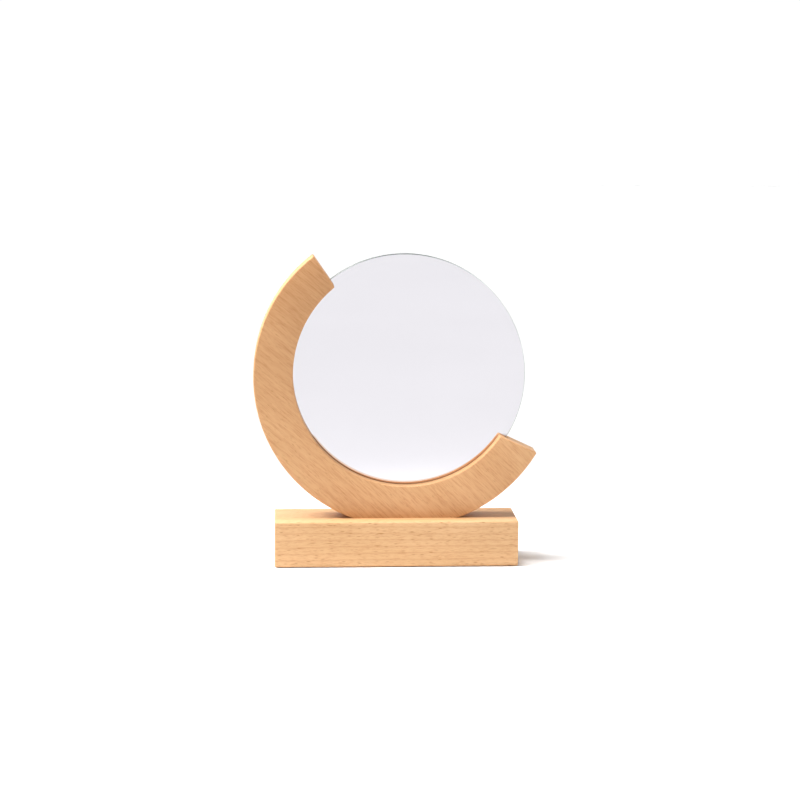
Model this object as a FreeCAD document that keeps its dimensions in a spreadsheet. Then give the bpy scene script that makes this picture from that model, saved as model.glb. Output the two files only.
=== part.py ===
import FreeCAD, Part
import math
import os
import Sketcher

# Countertop mirror: a round frameless glass sits in the grooved inner edge of a beech crescent,
# and the crescent's flat foot is dowelled, glued and screwed to a solid beech block.
# Frame: X to the right, Y away from the viewer, Z up. The origin is on the table under the middle
# of the block. Lengths are in millimetres and angles in degrees.

V = FreeCAD.Vector
doc = FreeCAD.newDocument("CountertopMirror")

# Driving dimensions: alias, value, what it is.
SIZES = [
    ("mirror_diameter", 200.0, "across the glass disc"),
    ("glass_thickness", 4.0, "float glass"),
    ("glass_arris", 0.5, "ground bevel on both rims of the glass"),
    ("film_thickness", 0.3, "paint and safety film on the back of the glass"),
    ("film_inset", 0.8, "glass rim left bare around the film"),
    ("mirror_offset", 6.6, "disc centre to the right of the block's middle"),
    ("frame_thickness", 24.0, "crescent, front to back"),
    ("frame_rounding", 1.2, "sanded edges of the crescent"),
    ("slot_clearance", 0.4, "air on each side of the glass in its groove"),
    ("bedding_depth", 3.0, "silicone between the glass rim and the groove's floor"),
    ("bedding_start", 138.0, "first end of the silicone, from +X towards +Z"),
    ("bedding_end", 318.0, "last end of the silicone"),
    ("lip_cover", 6.9, "how far the lips reach in over the glass"),
    ("inner_shift_x", 1.35, "centre of the crescent's inner edge, right of the disc centre"),
    ("inner_shift_z", 1.3, "the same, above the disc centre"),
    ("rim_wall", 22.6, "wood between the groove's floor and the outer edge"),
    ("outer_shift_x", 1.35, "centre of the crescent's outer edge, right of the disc centre"),
    ("outer_drop", 0.85, "the same, below the disc centre"),
    ("end_left_angle", 129.3, "upper left inner corner, about the inner edge's centre"),
    ("end_left_cut", 124.5, "direction of the saw cut there"),
    ("end_right_angle", 33.2, "right inner corner, below the horizontal"),
    ("end_right_cut", 24.9, "direction of the saw cut there, below the horizontal"),
    ("foot_web", 15.5, "wood between the groove's floor and the flat foot"),
    ("base_length", 201.0, "block, left to right"),
    ("base_depth", 55.0, "block, front to back"),
    ("base_height", 37.5, "block, without its pads"),
    ("base_rounding", 1.2, "sanded edges of the block"),
    ("dowel_diameter", 8.0, "beech dowel"),
    ("dowel_length", 30.0, "beech dowel"),
    ("dowel_bevel", 0.8, "bevelled ends of a dowel"),
    ("dowel_spacing", 68.0, "between the two dowels"),
    ("glue_space", 1.0, "room for glue past each end of a dowel"),
    ("screw_diameter", 4.5, "wood screw, over its thread"),
    ("screw_length", 40.0, "wood screw, under its head"),
    ("screw_tip", 5.0, "pointed end of a screw"),
    ("screw_grip", 12.0, "screw's reach into the crescent"),
    ("screw_spacing", 32.0, "between the two screws"),
    ("screw_hole_room", 0.25, "air around a screw in the block"),
    ("head_diameter", 9.0, "screw's pan head"),
    ("head_height", 3.0, "screw's pan head"),
    ("head_room", 1.0, "air around a head in its counterbore"),
    ("socket_across", 3.0, "hexagon socket, across its flats"),
    ("socket_depth", 1.8, "hexagon socket"),
    ("pad_diameter", 12.0, "stick-on foot pad"),
    ("pad_height", 0.6, "stick-on foot pad"),
    ("pad_rounding", 0.2, "edges of a foot pad"),
    ("pad_inset", 13.0, "pad centre in from the block's sides"),
]

sheet = doc.addObject("Spreadsheet::Sheet", "Sizes")
for row, (alias, value, note) in enumerate(SIZES, start=1):
    sheet.set("A%d" % row, alias)
    sheet.set("B%d" % row, "%g" % value)
    sheet.set("C%d" % row, note)
    sheet.setAlias("B%d" % row, alias)
doc.recompute()
size = {alias: float(sheet.get(alias)) for alias, value, note in SIZES}

# Sizes that follow from the driving ones, as expressions on the sheet.
S = "Sizes."
DISC_RADIUS = S + "mirror_diameter / 2"
GROOVE_RADIUS = "(Sizes.mirror_diameter / 2 + Sizes.bedding_depth)"
INNER_RADIUS = "(Sizes.mirror_diameter / 2 - Sizes.lip_cover)"
OUTER_RADIUS = "(Sizes.mirror_diameter / 2 + Sizes.bedding_depth + Sizes.rim_wall)"
FOOT_DROP = "(Sizes.mirror_diameter / 2 + Sizes.bedding_depth + Sizes.foot_web)"
STACK = "(Sizes.glass_thickness + Sizes.film_thickness)"
SLOT_WIDTH = "(Sizes.glass_thickness + Sizes.film_thickness + 2 * Sizes.slot_clearance)"
BASE_TOP = "(Sizes.pad_height + Sizes.base_height)"
DISC_HEIGHT = "(%s + %s)" % (BASE_TOP, FOOT_DROP)
FOOT_CENTRE = "(Sizes.mirror_offset + Sizes.outer_shift_x)"
COUNTERBORE_DEPTH = "(Sizes.base_height + Sizes.screw_grip - Sizes.screw_length)"

FIRST_RADIUS = 10.0
LEAST_CUT = 1.0  # mm3
parts = []


def new_body(name, x="0", y="0", z="0"):
    """A body whose own origin stands at x, y, z of the whole mirror."""
    body = doc.addObject("PartDesign::Body", name)
    body.Label = name
    for axis, place in (("x", x), ("y", y), ("z", z)):
        body.setExpression("Placement.Base." + axis, place)
    parts.append(body)
    return body


def new_sketch(body, plane, name, x="0", y="0", z="0"):
    """A sketch on one of the body's own origin planes, moved by x, y, z in that plane's frame."""
    sketch = body.newObject("Sketcher::SketchObject", name)
    origin_plane = [f for f in body.Origin.OriginFeatures if f.Role == plane][0]
    sketch.AttachmentSupport = [(origin_plane, "")]
    sketch.MapMode = "FlatFace"
    for axis, place in (("x", x), ("y", y), ("z", z)):
        sketch.setExpression("AttachmentOffset.Base." + axis, place)
    return sketch


def hold(sketch, kind, refs, value, expression):
    """One driving constraint, bound to the sheet."""
    index = sketch.addConstraint(Sketcher.Constraint(kind, *refs, value))
    sketch.setExpression("Constraints[%d]" % index, expression)


def join(sketch, first, second):
    """Two points of the sketch, each (geometry, end), become one."""
    sketch.addConstraint(Sketcher.Constraint("Coincident", *first, *second))


def centred_circle(sketch, expression):
    """A circle about the sketch's own origin, which starts at any radius and takes the bound one."""
    circle = sketch.addGeometry(Part.Circle(V(0, 0, 0), V(0, 0, 1), FIRST_RADIUS))
    join(sketch, (circle, 3), (-1, 1))
    hold(sketch, "Radius", (circle,), FIRST_RADIUS, expression)


def pad(body, sketch, length, name, both_ways=False):
    feature = body.newObject("PartDesign::Pad", name)
    feature.Profile = sketch
    feature.SideType = "Symmetric" if both_ways else "One side"
    feature.setExpression("Length", length)
    doc.recompute()
    return feature


def pocket(body, sketch, length, name, upwards=False, both_ways=False):
    """Cuts the sketch out of the body, and makes sure that something was cut."""
    before = body.Shape.Volume
    feature = body.newObject("PartDesign::Pocket", name)
    feature.Profile = sketch
    feature.SideType = "Symmetric" if both_ways else "One side"
    feature.Reversed = upwards
    if length is None:
        feature.Type = "ThroughAll"
    else:
        feature.setExpression("Length", length)
    doc.recompute()
    if body.Shape.Volume > before - LEAST_CUT:
        raise RuntimeError(name + " cuts nothing")
    return feature


def ease(body, feature, amount, name, kind="Fillet"):
    """Rounds or bevels every edge of a feature by the same amount."""
    edge = body.newObject("PartDesign::" + kind, name)
    edge.Base = (feature, [""])
    edge.UseAllEdges = True
    edge.setExpression("Radius" if kind == "Fillet" else "Size", amount)
    doc.recompute()
    return edge


def drill(body, name, x, z, diameter, depth, upwards):
    """One round hole along Z, its mouth at height z."""
    sketch = new_sketch(body, "XY_Plane", name + "_sketch", x=x, z=z)
    centred_circle(sketch, diameter + " / 2")
    pocket(body, sketch, depth, name, upwards=upwards)


def round_bar(name, diameter, length, plane, bevel, kind="Chamfer", **place):
    """A plain disc, dowel or pad with eased rims."""
    body = new_body(name, **place)
    sketch = new_sketch(body, plane, name + "_sketch")
    centred_circle(sketch, diameter + " / 2")
    blank = pad(body, sketch, length, name + "_blank", both_ways=(plane == "XZ_Plane"))
    if bevel:
        ease(body, blank, bevel, name + "_rims", kind)
    return body


def polar(radius, degrees, x=0.0, y=0.0):
    turn = math.radians(degrees)
    return V(x + radius * math.cos(turn), y + radius * math.sin(turn), 0)


def arc(sketch, centre, radius, start, end, expression):
    """A circle's arc, anticlockwise from start to end in degrees."""
    circle = Part.Circle(centre, V(0, 0, 1), radius)
    index = sketch.addGeometry(Part.ArcOfCircle(circle, math.radians(start), math.radians(end)))
    hold(sketch, "Radius", (index,), radius, expression)
    return index


def angled_line(sketch, start, end, degrees, expression, helper=False):
    """A line whose direction, from start to end, is held at an angle from the horizontal."""
    index = sketch.addGeometry(Part.LineSegment(start, end), helper)
    hold(sketch, "Angle", (index,), math.radians(degrees), expression)
    return index


def make_base_block():
    """Solid beech block: holes for the dowels from above, counterbored screw holes from below."""
    body = new_body("base_block", z=S + "pad_height")
    sketch = new_sketch(body, "XY_Plane", "block_sketch")
    half_x = size["base_length"] / 2
    half_y = size["base_depth"] / 2
    corners = [V(-half_x, -half_y, 0), V(half_x, -half_y, 0), V(half_x, half_y, 0), V(-half_x, half_y, 0)]
    sides = []
    for i, corner in enumerate(corners):
        sides.append(sketch.addGeometry(Part.LineSegment(corner, corners[(i + 1) % 4])))
    for i, side in enumerate(sides):
        join(sketch, (side, 2), (sides[(i + 1) % 4], 1))
        sketch.addConstraint(Sketcher.Constraint("Vertical" if i % 2 else "Horizontal", side))
    sketch.addConstraint(Sketcher.Constraint("Symmetric", sides[0], 1, sides[2], 1, -1, 1))
    hold(sketch, "DistanceX", (sides[0], 1, sides[0], 2), 2 * half_x, S + "base_length")
    hold(sketch, "DistanceY", (sides[1], 1, sides[1], 2), 2 * half_y, S + "base_depth")
    blank = pad(body, sketch, S + "base_height", "block_blank")
    ease(body, blank, S + "base_rounding", "block_rounding")
    for side, sign in (("left", "-"), ("right", "+")):
        screw_x = "%s %s Sizes.screw_spacing / 2" % (FOOT_CENTRE, sign)
        dowel_x = "%s %s Sizes.dowel_spacing / 2" % (FOOT_CENTRE, sign)
        drill(body, "counterbore_" + side, screw_x, "0",
              "(Sizes.head_diameter + 2 * Sizes.head_room)", COUNTERBORE_DEPTH, True)
        drill(body, "screw_hole_" + side, screw_x, "0",
              "(Sizes.screw_diameter + 2 * Sizes.screw_hole_room)", None, True)
        drill(body, "dowel_hole_" + side, dowel_x, S + "base_height",
              S + "dowel_diameter", "Sizes.dowel_length / 2 + Sizes.glue_space", False)


def make_crescent_frame():
    """Beech crescent, sawn to an arc, rounded, grooved for the glass and cut flat for its foot."""
    body = new_body("crescent_frame", x=S + "mirror_offset", z=DISC_HEIGHT)
    sketch = new_sketch(body, "XZ_Plane", "outline_sketch")
    inner = size["mirror_diameter"] / 2 - size["lip_cover"]
    outer = size["mirror_diameter"] / 2 + size["bedding_depth"] + size["rim_wall"]
    inner_centre = V(size["inner_shift_x"], size["inner_shift_z"], 0)
    outer_centre = V(size["outer_shift_x"], -size["outer_drop"], 0)
    left, left_cut = size["end_left_angle"], size["end_left_cut"]
    right, right_cut = -size["end_right_angle"], -size["end_right_cut"]
    inner_arc = arc(sketch, inner_centre, inner, left, 360 + right, INNER_RADIUS)
    outer_arc = arc(sketch, outer_centre, outer, left, 360 + right, OUTER_RADIUS)
    ends = ((left, left_cut, "Sizes.end_left_angle * 1 deg", "Sizes.end_left_cut * 1 deg", 1),
            (right, right_cut, "-Sizes.end_right_angle * 1 deg", "-Sizes.end_right_cut * 1 deg", 2))
    for turn, cut, turn_text, cut_text, arc_end in ends:
        corner = polar(inner, turn, inner_centre.x, inner_centre.y)
        tip = polar(outer - inner, cut, corner.x, corner.y)
        ray = angled_line(sketch, inner_centre, corner, turn, turn_text, helper=True)
        saw_cut = angled_line(sketch, corner, tip, cut, cut_text)
        join(sketch, (ray, 1), (inner_arc, 3))
        join(sketch, (ray, 2), (inner_arc, arc_end))
        join(sketch, (saw_cut, 1), (inner_arc, arc_end))
        join(sketch, (saw_cut, 2), (outer_arc, arc_end))
    hold(sketch, "DistanceX", (-1, 1, inner_arc, 3), inner_centre.x, S + "inner_shift_x")
    hold(sketch, "DistanceY", (-1, 1, inner_arc, 3), inner_centre.y, S + "inner_shift_z")
    hold(sketch, "DistanceX", (-1, 1, outer_arc, 3), outer_centre.x, S + "outer_shift_x")
    hold(sketch, "DistanceY", (outer_arc, 3, -1, 1), -outer_centre.y, S + "outer_drop")
    blank = pad(body, sketch, S + "frame_thickness", "crescent_blank", both_ways=True)
    ease(body, blank, S + "frame_rounding", "crescent_rounding")

    groove = new_sketch(body, "XZ_Plane", "groove_sketch")
    centred_circle(groove, GROOVE_RADIUS)
    pocket(body, groove, SLOT_WIDTH, "glass_groove", both_ways=True)

    # Everything under the foot's plane is cut away, over a disc as wide as the crescent.
    foot = new_sketch(body, "XY_Plane", "foot_sketch", z="-" + FOOT_DROP)
    centred_circle(foot, OUTER_RADIUS)
    pocket(body, foot, None, "flat_foot")

    for side, sign in (("left", "-"), ("right", "+")):
        screw_x = "Sizes.outer_shift_x %s Sizes.screw_spacing / 2" % sign
        dowel_x = "Sizes.outer_shift_x %s Sizes.dowel_spacing / 2" % sign
        drill(body, "pilot_hole_" + side, screw_x, "-" + FOOT_DROP,
              S + "screw_diameter", S + "screw_grip", True)
        drill(body, "dowel_socket_" + side, dowel_x, "-" + FOOT_DROP,
              S + "dowel_diameter", "Sizes.dowel_length / 2 + Sizes.glue_space", True)


def make_mirror():
    """Glass disc with ground rims, and the film that backs its silvering."""
    disc = {"plane": "XZ_Plane", "x": S + "mirror_offset", "z": DISC_HEIGHT}
    round_bar("mirror_glass", S + "mirror_diameter", S + "glass_thickness", bevel=S + "glass_arris",
              y="-Sizes.film_thickness / 2", **disc)
    round_bar("mirror_backing", "(Sizes.mirror_diameter - 2 * Sizes.film_inset)", S + "film_thickness",
              bevel=None, y="Sizes.glass_thickness / 2", **disc)


def make_groove_bedding():
    """Silicone laid in the groove's floor, on which the glass rim is pressed home."""
    body = new_body("groove_bedding", x=S + "mirror_offset", z=DISC_HEIGHT)
    sketch = new_sketch(body, "XZ_Plane", "bedding_sketch")
    start, end = size["bedding_start"], size["bedding_end"]
    inner = size["mirror_diameter"] / 2
    outer = inner + size["bedding_depth"]
    middle = V(0, 0, 0)
    inner_arc = arc(sketch, middle, inner, start, end, DISC_RADIUS)
    outer_arc = arc(sketch, middle, outer, start, end, GROOVE_RADIUS)
    join(sketch, (inner_arc, 3), (-1, 1))
    join(sketch, (outer_arc, 3), (-1, 1))
    for turn, alias, arc_end in ((start, "bedding_start", 1), (end - 360, "bedding_end", 2)):
        text = "Sizes.%s * 1 deg" % alias
        if arc_end == 2:
            text += " - 360 deg"
        side = angled_line(sketch, polar(inner, turn), polar(outer, turn), turn, text)
        join(sketch, (side, 1), (inner_arc, arc_end))
        join(sketch, (side, 2), (outer_arc, arc_end))
        sketch.addConstraint(Sketcher.Constraint("PointOnObject", -1, 1, side))
    pad(body, sketch, STACK, "bedding", both_ways=True)


def make_dowels():
    """Two beech dowels, half in the block and half in the crescent's foot."""
    for side, sign in (("left", "-"), ("right", "+")):
        round_bar("dowel_" + side, S + "dowel_diameter", S + "dowel_length", "XY_Plane", S + "dowel_bevel",
                  x="%s %s Sizes.dowel_spacing / 2" % (FOOT_CENTRE, sign),
                  z="%s - Sizes.dowel_length / 2" % BASE_TOP)


def make_base_screws():
    """Two pan-head wood screws, driven up through the block into the crescent's foot."""
    body = new_body("base_screws", x=FOOT_CENTRE + " - Sizes.screw_spacing / 2",
                    z="Sizes.pad_height + " + COUNTERBORE_DEPTH)
    body.AllowCompound = True
    sketch = new_sketch(body, "XZ_Plane", "screw_sketch")
    head, shank = size["head_diameter"] / 2, size["screw_diameter"] / 2
    under, length = -size["head_height"], size["screw_length"]
    taper = length - size["screw_tip"]
    corners = [V(0, under, 0), V(head, under, 0), V(head, 0, 0), V(shank, 0, 0),
               V(shank, taper, 0), V(0, length, 0)]
    lines = []
    for i, corner in enumerate(corners):
        lines.append(sketch.addGeometry(Part.LineSegment(corner, corners[(i + 1) % len(corners)])))
    for i, line in enumerate(lines):
        join(sketch, (line, 2), (lines[(i + 1) % len(lines)], 1))
    for i in (0, 2):
        sketch.addConstraint(Sketcher.Constraint("Horizontal", lines[i]))
    for i in (1, 3, 5):
        sketch.addConstraint(Sketcher.Constraint("Vertical", lines[i]))
    sketch.addConstraint(Sketcher.Constraint("PointOnObject", lines[0], 1, -2))
    sketch.addConstraint(Sketcher.Constraint("PointOnObject", lines[2], 1, -1))
    hold(sketch, "DistanceX", (lines[0], 1, lines[0], 2), head, "Sizes.head_diameter / 2")
    hold(sketch, "DistanceY", (lines[1], 1, lines[1], 2), -under, S + "head_height")
    hold(sketch, "DistanceX", (-1, 1, lines[3], 1), shank, "Sizes.screw_diameter / 2")
    hold(sketch, "DistanceY", (-1, 1, lines[4], 2), length, S + "screw_length")
    hold(sketch, "DistanceY", (lines[4], 1, lines[4], 2), size["screw_tip"], S + "screw_tip")
    turned = body.newObject("PartDesign::Revolution", "screw_body")
    turned.Profile = sketch
    turned.ReferenceAxis = (sketch, ["V_Axis"])
    turned.Angle = 360
    doc.recompute()
    hexagon = new_sketch(body, "XY_Plane", "socket_sketch", z="-Sizes.head_height")
    across = size["socket_across"]
    corner_radius = across / math.sqrt(3)
    points = [polar(corner_radius, 60 * i) for i in range(6)]
    edges = [hexagon.addGeometry(Part.LineSegment(points[i], points[(i + 1) % 6])) for i in range(6)]
    rim = hexagon.addGeometry(Part.Circle(V(0, 0, 0), V(0, 0, 1), corner_radius), True)
    join(hexagon, (rim, 3), (-1, 1))
    for i, edge in enumerate(edges):
        join(hexagon, (edge, 2), (edges[(i + 1) % 6], 1))
        hexagon.addConstraint(Sketcher.Constraint("PointOnObject", edge, 1, rim))
        if i:
            hexagon.addConstraint(Sketcher.Constraint("Equal", edges[0], edge))
    hexagon.addConstraint(Sketcher.Constraint("PointOnObject", edges[0], 1, -1))
    hold(hexagon, "Radius", (rim,), corner_radius, "Sizes.socket_across / sqrt(3)")
    socket = pocket(body, hexagon, S + "socket_depth", "socket", upwards=True)
    row = body.newObject("PartDesign::LinearPattern", "screw_row")
    row.Originals = [turned, socket]
    row.Direction = (sketch, ["H_Axis"])
    row.setExpression("Length", S + "screw_spacing")
    row.Occurrences = 2
    body.Tip = row
    doc.recompute()


def make_foot_pads():
    """Four stick-on pads near the block's corners."""
    for end, y_sign in (("front", "-"), ("back", "")):
        for side, x_sign in (("left", "-"), ("right", "")):
            round_bar("foot_pad_%s_%s" % (end, side), S + "pad_diameter", S + "pad_height", "XY_Plane",
                      S + "pad_rounding", "Fillet",
                      x=x_sign + "(Sizes.base_length / 2 - Sizes.pad_inset)",
                      y=y_sign + "(Sizes.base_depth / 2 - Sizes.pad_inset)")


make_base_block()
make_crescent_frame()
make_mirror()
make_groove_bedding()
make_dowels()
make_base_screws()
make_foot_pads()
doc.recompute()

for item in doc.Objects:
    if "Invalid" in item.State or "Error" in item.State:
        raise RuntimeError("%s failed: %s" % (item.Label, item.State))
for body in parts:
    if body.Shape.isNull() or not body.Shape.isValid():
        raise RuntimeError(body.Label + " has no valid shape")

os.makedirs("parts", exist_ok=True)
for body in parts:
    body.Shape.exportStep("parts/%s.step" % body.Label)
    box = body.Shape.BoundBox
    print("%-24s %d solid(s) %10.1f mm3  x %.2f..%.2f  y %.2f..%.2f  z %.2f..%.2f" % (
        body.Label, len(body.Shape.Solids), body.Shape.Volume,
        box.XMin, box.XMax, box.YMin, box.YMax, box.ZMin, box.ZMax))
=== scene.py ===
import bmesh
import bpy
import math
from mathutils import Matrix, Vector


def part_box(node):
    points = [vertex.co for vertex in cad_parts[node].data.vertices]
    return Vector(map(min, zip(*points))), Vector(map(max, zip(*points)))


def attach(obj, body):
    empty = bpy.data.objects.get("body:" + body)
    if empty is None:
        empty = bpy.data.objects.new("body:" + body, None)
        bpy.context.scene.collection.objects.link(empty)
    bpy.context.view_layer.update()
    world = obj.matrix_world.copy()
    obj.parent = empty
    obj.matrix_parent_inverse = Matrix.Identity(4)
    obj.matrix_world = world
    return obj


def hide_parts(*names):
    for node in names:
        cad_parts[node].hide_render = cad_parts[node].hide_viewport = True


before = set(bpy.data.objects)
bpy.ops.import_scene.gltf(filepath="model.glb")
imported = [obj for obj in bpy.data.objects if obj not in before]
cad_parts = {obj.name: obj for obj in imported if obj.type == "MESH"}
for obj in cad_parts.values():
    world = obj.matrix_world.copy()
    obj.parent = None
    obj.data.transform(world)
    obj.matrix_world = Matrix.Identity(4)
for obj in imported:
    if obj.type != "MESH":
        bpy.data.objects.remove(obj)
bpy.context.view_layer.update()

# ---------------------------------------------------------------------------------------------
# The block: one length of steamed beech, planed square, all its edges rounded over with a small
# router bit and sanded. It is drilled from above for two dowels and counterbored from below for
# two screws. It carries everything else.

MM = 0.001
EDGE_SEGMENTS = 6
CUTTER_SIDES = 48
FLECK_COLOUR = "#A6743E"
CELLS_PER_FLECK = 0.55


def linear(hex_colour):
    """An sRGB colour such as "#E8BA86" as the linear values that a socket takes, fully opaque."""
    channels = [int(hex_colour[i:i + 2], 16) / 255 for i in (1, 3, 5)]
    return [c / 12.92 if c <= 0.04045 else ((c + 0.055) / 1.055) ** 2.4 for c in channels] + [1.0]


def add_node(tree, kind, inputs=(), stops=(), **settings):
    """Adds a node. inputs maps a socket's name or number to a value or to the socket it links from.
    stops lists a colour ramp's (place, hex colour) pairs, two or more, from left to right."""
    new = tree.nodes.new(kind)
    for setting, value in settings.items():
        setattr(new, setting, value)
    if stops:
        for _ in stops[2:]:
            new.color_ramp.elements.new(0.5)
        for element, (place, colour) in zip(new.color_ramp.elements, stops):
            element.position = place
            element.color = linear(colour)
    for key, value in dict(inputs).items():
        if isinstance(value, bpy.types.NodeSocket):
            tree.links.new(value, new.inputs[key])
        else:
            new.inputs[key].default_value = value
    return new


def new_material(name):
    """An empty node material with its Principled shader, which the caller sets up."""
    material = bpy.data.materials.new(name)
    material.use_nodes = True
    return material, material.node_tree, material.node_tree.nodes["Principled BSDF"]


def plain_mesh(obj):
    """The object with its modifiers worked out, as a plain mesh and with no modifiers left."""
    shape = bpy.data.meshes.new_from_object(obj.evaluated_get(bpy.context.evaluated_depsgraph_get()))
    obj.modifiers.clear()
    obj.data = shape
    return obj


def mesh_piece(name, bm, *materials):
    """A new object in the scene from a bmesh, which is used up."""
    bmesh.ops.recalc_face_normals(bm, faces=bm.faces)
    shape = bpy.data.meshes.new(name)
    bm.to_mesh(shape)
    bm.free()
    obj = bpy.data.objects.new(name, shape)
    bpy.context.scene.collection.objects.link(obj)
    for material in materials:
        shape.materials.append(material)
    return obj


def bore_out(obj, holes):
    """Cuts round holes along Z: each is (x, y, radius, low z, high z)."""
    bm = bmesh.new()
    for x, y, radius, low, high in holes:
        place = Matrix.Translation((x, y, (low + high) / 2))
        bmesh.ops.create_cone(bm, cap_ends=True, segments=CUTTER_SIDES, radius1=radius,
                              radius2=radius, depth=high - low, matrix=place)
    cutter = mesh_piece("cutter", bm)
    cut = obj.modifiers.new("holes", "BOOLEAN")
    cut.object = cutter
    cut.operation = "DIFFERENCE"
    cut.solver = "EXACT"
    cut.use_self = True
    plain_mesh(obj)
    bpy.data.objects.remove(cutter)


def finish_piece(obj, slot, *nodes, smooth=32):
    """Shades the piece, hangs it on the body and lets it stand for its CAD nodes."""
    obj.data.shade_smooth()
    obj.data.set_sharp_from_angle(angle=math.radians(smooth))
    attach(obj, "root")
    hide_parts(*nodes)
    return obj


def beech(name, tones, grain_space, rings, fibres, flecks, painted_shade_above=None):
    """Steamed beech, planed and sanded, under a thin clear satin lacquer. It gives the eye an even
    pinkish straw colour with faint growth lines, fine streaks along the grain and short dark ray
    flecks, and a soft sheen. tones holds the dark, middle and light hex colours. grain_space(tree)
    returns the socket of a vector in millimetres: along the grain, across the rings, and the rest.
    rings is (gap, wander, darkest colour), fibres is (length, width, darkest colour), and flecks is
    a list of (length, thickness, share of places that have one, strength). All in millimetres.
    painted_shade_above is (low height, high height, colour) for painted shade that darkens a tall piece
    towards its upper end, where the light grows weaker: the colour multiplies the tone fully at the high
    height, and not at all at the low one."""
    material, tree, shader = new_material(name)
    space = grain_space(tree)

    def streaks(length, width, detail, rough=0.5):
        """Noise drawn out along the grain, with features of that size in millimetres."""
        drawn = add_node(tree, "ShaderNodeMapping", {
            "Vector": space, "Scale": (1 / length, 1 / width, 1 / width)})
        return add_node(tree, "ShaderNodeTexNoise", {
            "Vector": drawn.outputs[0], "Scale": 1.0, "Detail": detail, "Roughness": rough}).outputs[0]

    def spindles(length, thickness, share, strength):
        """Scattered spindles of about that size, in that share of the texture's cells. A cell is
        nearly twice as long and as thick. Each spindle is solid in its core, fades out round it, and
        has a darkness of its own."""
        cells = add_node(tree, "ShaderNodeMapping", {
            "Vector": space, "Scale": [CELLS_PER_FLECK / size for size in (length, thickness, thickness)]})
        spots = add_node(tree, "ShaderNodeTexVoronoi", {"Vector": cells.outputs[0], "Scale": 1.0})
        near = add_node(tree, "ShaderNodeMapRange", {
            0: spots.outputs["Distance"], 1: 0.10, 2: 0.30, 3: strength, 4: 0.0})
        chance = add_node(tree, "ShaderNodeSeparateColor", {0: spots.outputs["Color"]})
        darkness = add_node(tree, "ShaderNodeMapRange", {
            0: chance.outputs[0], 1: 1 - share, 2: 1.0, 3: 0.35, 4: 1.0})
        there = add_node(tree, "ShaderNodeMath", {0: chance.outputs[0], 1: 1 - share},
                         operation="GREATER_THAN")
        deep = add_node(tree, "ShaderNodeMath", {0: near.outputs[0], 1: darkness.outputs[0]},
                        operation="MULTIPLY")
        return add_node(tree, "ShaderNodeMath", {0: deep.outputs[0], 1: there.outputs[0]},
                        operation="MULTIPLY").outputs[0]

    # Broad patches, 120 mm by 30 mm, where the board is a little paler or redder.
    dark_tone, middle_tone, light_tone = tones
    toned = add_node(tree, "ShaderNodeValToRGB", {0: streaks(120, 30, 2.0)},
                     stops=[(0.30, dark_tone), (0.50, middle_tone), (0.72, light_tone)]).outputs[0]
    # Painted shade: the tone can be darkened towards the top of a tall piece, standing in for the light
    # that grows weaker with height.
    if painted_shade_above:
        low, high, painted_top_shade = painted_shade_above
        place = add_node(tree, "ShaderNodeTexCoord").outputs["Object"]
        height = add_node(tree, "ShaderNodeSeparateXYZ", {0: place}).outputs[2]
        climb = add_node(tree, "ShaderNodeMapRange", {0: height, 1: low * MM, 2: high * MM})
        shade = add_node(tree, "ShaderNodeValToRGB", {0: climb.outputs[0]},
                         stops=[(0.0, "#FFFFFF"), (1.0, painted_top_shade)])
        toned = add_node(tree, "ShaderNodeMix", {0: 1.0, 6: toned, 7: shade.outputs[0]},
                         data_type="RGBA", blend_type="MULTIPLY").outputs[2]
    # Growth rings: a thin darker line of late wood at the end of each year.
    gap, wander, late_colour = rings
    drift = add_node(tree, "ShaderNodeMath", {0: streaks(150, 16, 2.0), 1: wander / gap},
                     operation="MULTIPLY")
    across = add_node(tree, "ShaderNodeSeparateXYZ", {0: space}).outputs[1]
    year = add_node(tree, "ShaderNodeMath", {0: across, 1: 1 / gap, 2: drift.outputs[0]},
                    operation="MULTIPLY_ADD")
    phase = add_node(tree, "ShaderNodeMath", {0: year.outputs[0]}, operation="FRACT")
    late = add_node(tree, "ShaderNodeValToRGB", {0: phase.outputs[0]}, stops=[
        (0.0, "#FFFFFF"), (0.60, "#FDFCFB"), (0.84, late_colour), (1.0, "#FFFFFF")])
    ringed = add_node(tree, "ShaderNodeMix", {0: 1.0, 6: toned, 7: late.outputs[0]},
                      data_type="RGBA", blend_type="MULTIPLY")
    # Fibre streaks, the finest that show from a metre away. Real fibres are finer still.
    fibre_length, fibre_width, fibre_colour = fibres
    fibre = add_node(tree, "ShaderNodeValToRGB", {0: streaks(fibre_length, fibre_width, 3.0, 0.6)},
                     stops=[(0.28, fibre_colour), (0.50, "#FBF8F5"), (0.70, "#FFFFFF")])
    fibred = add_node(tree, "ShaderNodeMix", {0: 1.0, 6: ringed.outputs[2], 7: fibre.outputs[0]},
                      data_type="RGBA", blend_type="MULTIPLY")
    # Ray flecks: sparse dark spindles, drawn thicker than the real 0.3 to 0.6 mm so that they show.
    dark = 0.0
    for fleck in flecks:
        dark = add_node(tree, "ShaderNodeMath", {0: dark, 1: spindles(*fleck)},
                        operation="MAXIMUM").outputs[0]
    coloured = add_node(tree, "ShaderNodeMix", {0: dark, 6: fibred.outputs[2], 7: linear(FLECK_COLOUR)},
                        data_type="RGBA")
    tree.links.new(coloured.outputs[2], shader.inputs["Base Color"])
    # The hard flecks shine a little more than the wood round them, and lie a little lower.
    sheen = add_node(tree, "ShaderNodeMapRange", {0: dark, 1: 0.0, 2: 1.0, 3: 0.52, 4: 0.42})
    tree.links.new(sheen.outputs[0], shader.inputs["Roughness"])
    shader.inputs["IOR"].default_value = 1.5
    shader.inputs["Specular IOR Level"].default_value = 0.4
    relief = add_node(tree, "ShaderNodeMath", {0: fibre.outputs[0], 1: dark}, operation="SUBTRACT")
    bump = add_node(tree, "ShaderNodeBump", {
        "Height": relief.outputs[0], "Strength": 0.3, "Distance": 0.05 * MM})
    tree.links.new(bump.outputs[0], shader.inputs["Normal"])
    return material


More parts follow.
